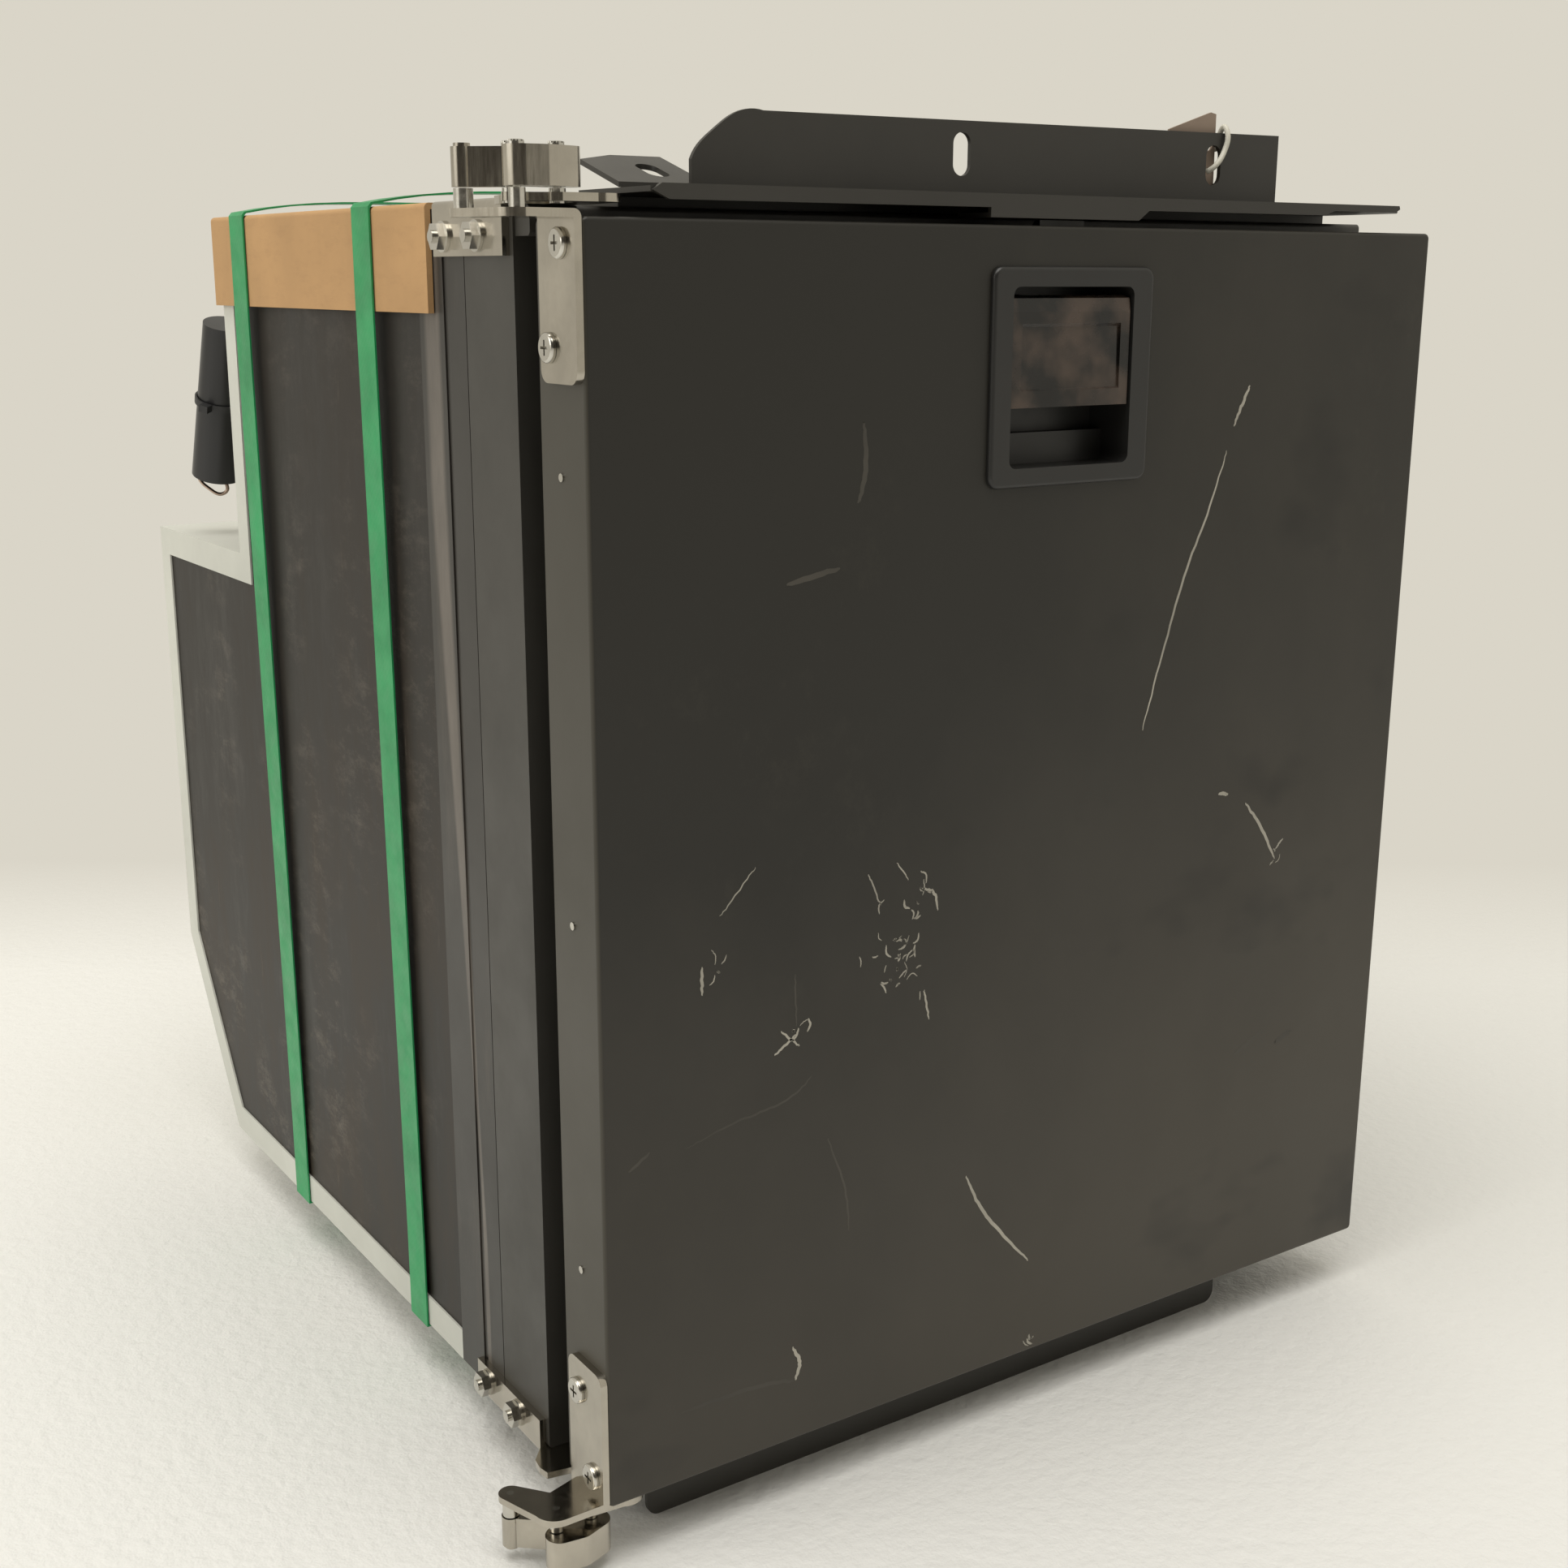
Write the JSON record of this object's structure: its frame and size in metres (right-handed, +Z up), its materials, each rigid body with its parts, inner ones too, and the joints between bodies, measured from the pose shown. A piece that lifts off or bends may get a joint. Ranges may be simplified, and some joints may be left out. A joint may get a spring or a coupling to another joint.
{
  "type": "built-in compressor refrigerator",
  "caption": "Compact built-in refrigerator with a link-hinged front door, paddle latch, stepped rear machinery bay, mounting flanges and packing straps.",
  "frame": {"origin": "centre of the bottom of the bounding box, on the floor plane", "axes": "-Y towards the door front, +Z up, +X towards the latch-free side of the door away from the hinges"},
  "size_m": [0.4872, 0.5286, 0.5906],
  "materials": {
    "door_paint": "satin dark grey-brown powder paint",
    "frame_paint": "satin black-brown paint",
    "frame_plastic": "black moulded frame",
    "wrapper_paint": "pale grey coated sheet",
    "flange_paint": "dark grey coated sheet",
    "insulation_foam": "rigid foam",
    "liner_plastic": "white formed sheet",
    "clear_plastic": "pale tinted moulding",
    "evaporator_metal": "rolled aluminium",
    "white_plastic": "white moulding",
    "lamp_plastic": "milky lens",
    "shelf_wire": "plated wire",
    "plate_zinc": "zinc plated steel",
    "rubber_black": "black rubber",
    "line_foam": "black foam cladding",
    "compressor_paint": "black gloss paint",
    "black_plastic": "black moulding",
    "copper": "bright copper",
    "hinge_steel": "polished stainless steel",
    "fastener_steel": "stainless steel",
    "latch_plastic": "fine grained black moulding",
    "strap_plastic": "embossed green strapping",
    "cardboard": "brown laminated board",
    "tag_card": "brown card"
  },
  "bodies": {
    "cabinet": {"outer_wrapper": "wrapper_paint", "side_panels": "frame_paint", "front_frame": "frame_plastic", "frame_skirt": "frame_paint", "cabinet_insulation": "insulation_foam", "inner_liner": "liner_plastic", "evaporator": "evaporator_metal", "drip_tray": "clear_plastic", "wire_shelves": "shelf_wire", "thermostat_housing": "white_plastic", "lamp_lens": "lamp_plastic", "compressor_mount_plate": "plate_zinc", "grommets": "rubber_black", "compressor_bolts": "plate_zinc", "compressor": "compressor_paint", "controller": "black_plastic", "filter_drier": "copper", "fan_shroud": "black_plastic", "condenser": "evaporator_metal", "refrigerant_pipes": "copper", "suction_line": "line_foam", "capillary_loop": "copper", "cable_tie": "black_plastic", "power_inlet": "black_plastic", "mounting_flange": "flange_paint", "hood_plate": "flange_paint", "hood_screws": "plate_zinc", "base_flange": "flange_paint", "rear_feet": "rubber_black", "hinge_bracket_cabinet_top": "hinge_steel", "hinge_bracket_cabinet_bottom": "hinge_steel", "cabinet_bracket_nuts": "fastener_steel", "cabinet_hinge_pins": "fastener_steel", "packing_straps": "strap_plastic", "edge_protector": "cardboard", "hang_tag": "tag_card", "tag_tie": "white_plastic"},
    "outer_links": {"outer_link_top": "hinge_steel", "outer_link_bottom": "hinge_steel"},
    "inner_links": {"inner_links": "hinge_steel"},
    "door": {"hinge_bracket_door_top": "hinge_steel", "hinge_bracket_door_bottom": "hinge_steel", "bracket_screws": "fastener_steel", "door_hinge_pins": "fastener_steel", "door_skin": "door_paint", "edge_rivets": "fastener_steel", "door_foam": "insulation_foam", "door_liner": "liner_plastic", "door_gasket": "rubber_black", "door_bin_upper": "clear_plastic", "door_bin_lower": "clear_plastic", "latch_bezel": "latch_plastic", "latch_pin": "fastener_steel", "latch_spring": "fastener_steel"},
    "latch_paddle": {"latch_paddle": "latch_plastic"},
    "latch_bolt": {"latch_bolt": "latch_plastic"},
    "freezer_flap": {"freezer_flap": "white_plastic"},
    "crisper_bin": {"crisper_bin": "clear_plastic"},
    "thermostat_knob": {"thermostat_knob": "white_plastic"},
    "fan_rotor": {"fan_rotor": "black_plastic"}
  },
  "joints": [
    {"name": "link_swing", "type": "hinge", "parent": "cabinet", "child": "outer_links", "pos_m": [-0.21166, -0.25179, 0.28525], "axis": [0, 0, -1], "range_deg": [0, 9]},
    {"name": "door_swing", "type": "hinge", "parent": "outer_links", "child": "door", "pos_m": [-0.22768, -0.25275, 0.28525], "axis": [0, 0, -1], "range_deg": [0, 81]},
    {"name": "inner_link_swing", "type": "hinge", "parent": "cabinet", "child": "inner_links", "pos_m": [-0.22573, -0.24375, 0.28525], "axis": [0, 0, -1], "range_deg": [0, 127]},
    {"name": "paddle_turn", "type": "hinge", "parent": "door", "child": "latch_paddle", "pos_m": [0.01983, -0.25575, 0.5095], "axis": [-1, 0, 0], "range_deg": [0, 30], "stiffness_Nm_per_rad": 0.06, "springref_deg": -22.92},
    {"name": "bolt_slide", "type": "slide", "parent": "door", "child": "latch_bolt", "axis": [0, 0, -1], "range_m": [0, 0.0042]},
    {"name": "flap_turn", "type": "hinge", "parent": "cabinet", "child": "freezer_flap", "pos_m": [0.01733, -0.10125, 0.495], "axis": [-1, 0, 0], "range_deg": [0, 80]},
    {"name": "bin_slide", "type": "slide", "parent": "cabinet", "child": "crisper_bin", "axis": [0, -1, 0], "range_m": [0, 0.05]},
    {"name": "knob_turn", "type": "hinge", "parent": "cabinet", "child": "thermostat_knob", "pos_m": [0.17433, -0.11175, 0.343], "axis": [-1, 0, 0], "range_deg": [0, 270]},
    {"name": "fan_spin", "type": "hinge", "parent": "cabinet", "child": "fan_rotor", "pos_m": [0.11033, 0.19625, 0.45], "axis": [1, 0, 0], "continuous": true}
  ],
  "couplings": [
    {"joint": "link_swing", "follows": "door_swing", "ratio": 0.1111},
    {"joint": "inner_link_swing", "follows": "door_swing", "ratio": 1.5667},
    {"joint": "bolt_slide", "follows": "paddle_turn", "m_per_rad": 0.008}
  ]
}
